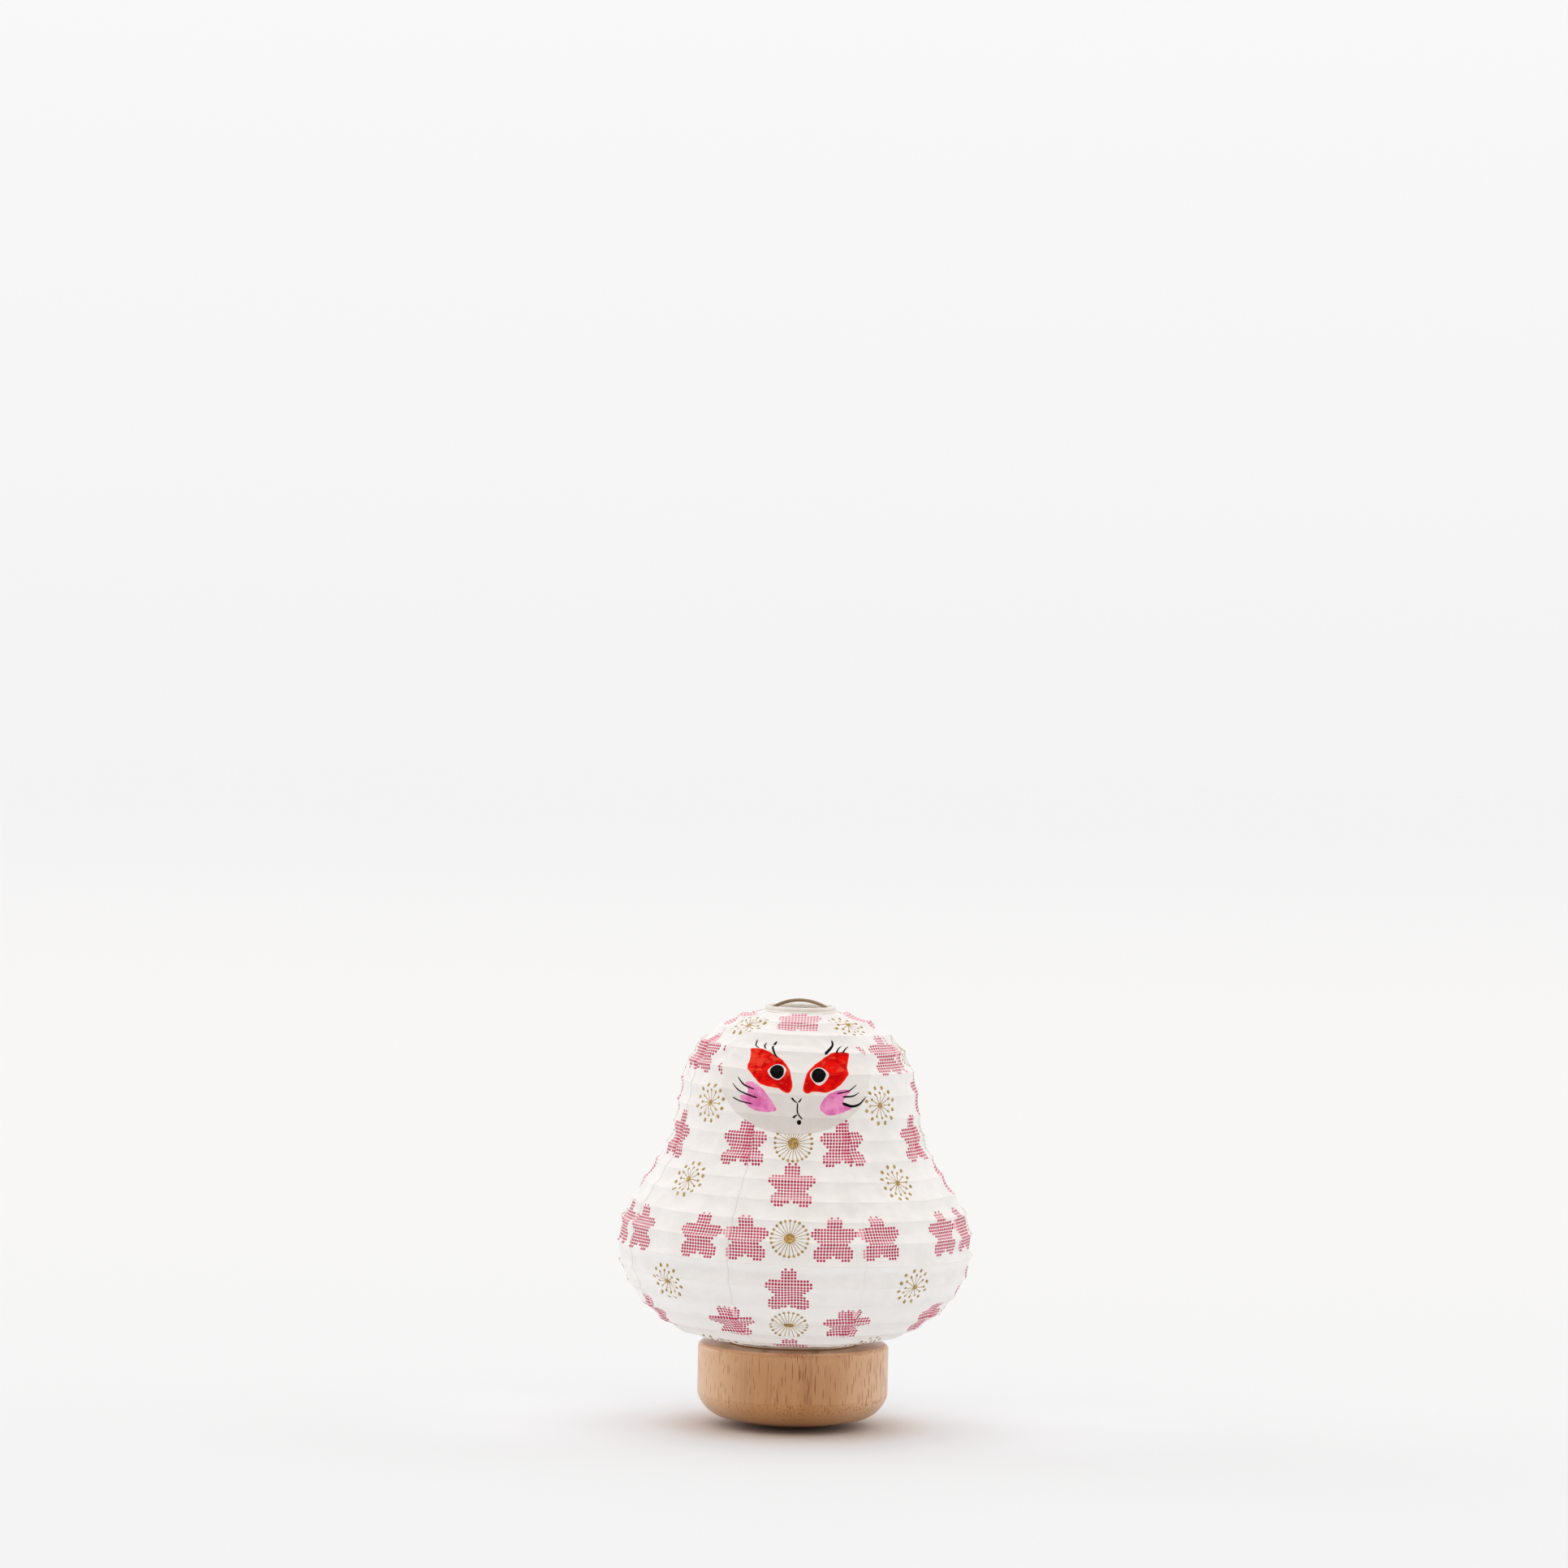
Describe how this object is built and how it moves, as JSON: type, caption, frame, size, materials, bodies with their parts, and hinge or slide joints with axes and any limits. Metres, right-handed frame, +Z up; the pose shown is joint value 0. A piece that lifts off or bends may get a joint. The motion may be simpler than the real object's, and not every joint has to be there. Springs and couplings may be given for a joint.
{
  "type": "daruma doll paper lantern",
  "caption": "Daruma-shaped white paper lantern with a painted face and printed flowers, on a rounded wooden base with a small light.",
  "frame": {"origin": "centre of the small flat spot under the wooden base, where it touches the floor", "axes": "+Z up along the lantern's axis; -Y is the side with the painted face; +X is to the right of a person who looks at the face"},
  "size_m": [0.125, 0.125, 0.1495],
  "materials": {
    "wood": "satin, light close-grained hardwood with short dark pores",
    "printed_paper": "white handmade paper printed with dotted pink flowers and gold seed heads",
    "face_paper": "second sheet of white paper with a brushed face",
    "binding_paper": "white paper strip, pasted",
    "rib_wire": "white-coated steel wire",
    "cotton_thread": "unbleached thread",
    "bow_wire": "polished wire with a warm tone",
    "bright_nickel": "bright nickel-plated wire",
    "spring_nickel": "nickel-plated spring strip",
    "zinc_steel": "zinc-plated steel",
    "cell_steel": "stainless can",
    "brass": "turned brass",
    "black_plastic": "moulded, fine texture",
    "ivory_plastic": "moulded, matte",
    "frosted_plastic": "translucent frosted",
    "led_resin": "clear warm epoxy",
    "board_green": "solder-masked laminate"
  },
  "bodies": {
    "base": {"wood_base": "wood", "counterweight": "zinc_steel", "weight_screw": "zinc_steel", "cell_tray": "black_plastic", "coin_cell_1": "cell_steel", "coin_cell_2": "cell_steel", "floor_contact_1": "spring_nickel", "floor_contact_2": "spring_nickel", "bridge_contact": "spring_nickel", "circuit_board": "board_green", "led_lamp": "led_resin", "led_legs": "spring_nickel", "control_chip": "black_plastic", "resistors": "black_plastic", "switch_body": "spring_nickel", "module_cover": "ivory_plastic", "cover_screws": "zinc_steel", "bow_sockets": "brass", "led_diffuser": "frosted_plastic", "hem_clips": "spring_nickel", "wire_bow": "bow_wire"},
    "lantern": {"paper_gore_1": "printed_paper", "paper_gore_2": "printed_paper", "paper_gore_3": "printed_paper", "paper_gore_4": "printed_paper", "paper_gore_5": "printed_paper", "paper_gore_6": "printed_paper", "paper_gore_7": "printed_paper", "paper_gore_8": "printed_paper", "face_patch": "face_paper", "spiral_rib": "rib_wire", "rib_threads": "cotton_thread", "top_ring": "bow_wire", "top_binding": "binding_paper"},
    "hem": {"hem_ring": "bright_nickel", "hem_ties": "binding_paper"},
    "switch": {"switch_knob": "black_plastic"}
  },
  "joints": [
    {"name": "shade_lift", "type": "slide", "parent": "base", "child": "lantern", "axis": [0, 0, 1], "range_m": [0, 0.125]},
    {"name": "hem_raise", "type": "slide", "parent": "lantern", "child": "hem", "axis": [0, 0, 1], "range_m": [0, 0.085], "deforming": ["paper_gore_1", "paper_gore_2", "paper_gore_3", "paper_gore_4", "paper_gore_5", "paper_gore_6", "paper_gore_7", "paper_gore_8", "face_patch", "spiral_rib", "rib_threads"]},
    {"name": "switch_slide", "type": "slide", "parent": "base", "child": "switch", "axis": [1, 0, 0], "range_m": [0, 0.002]}
  ]
}
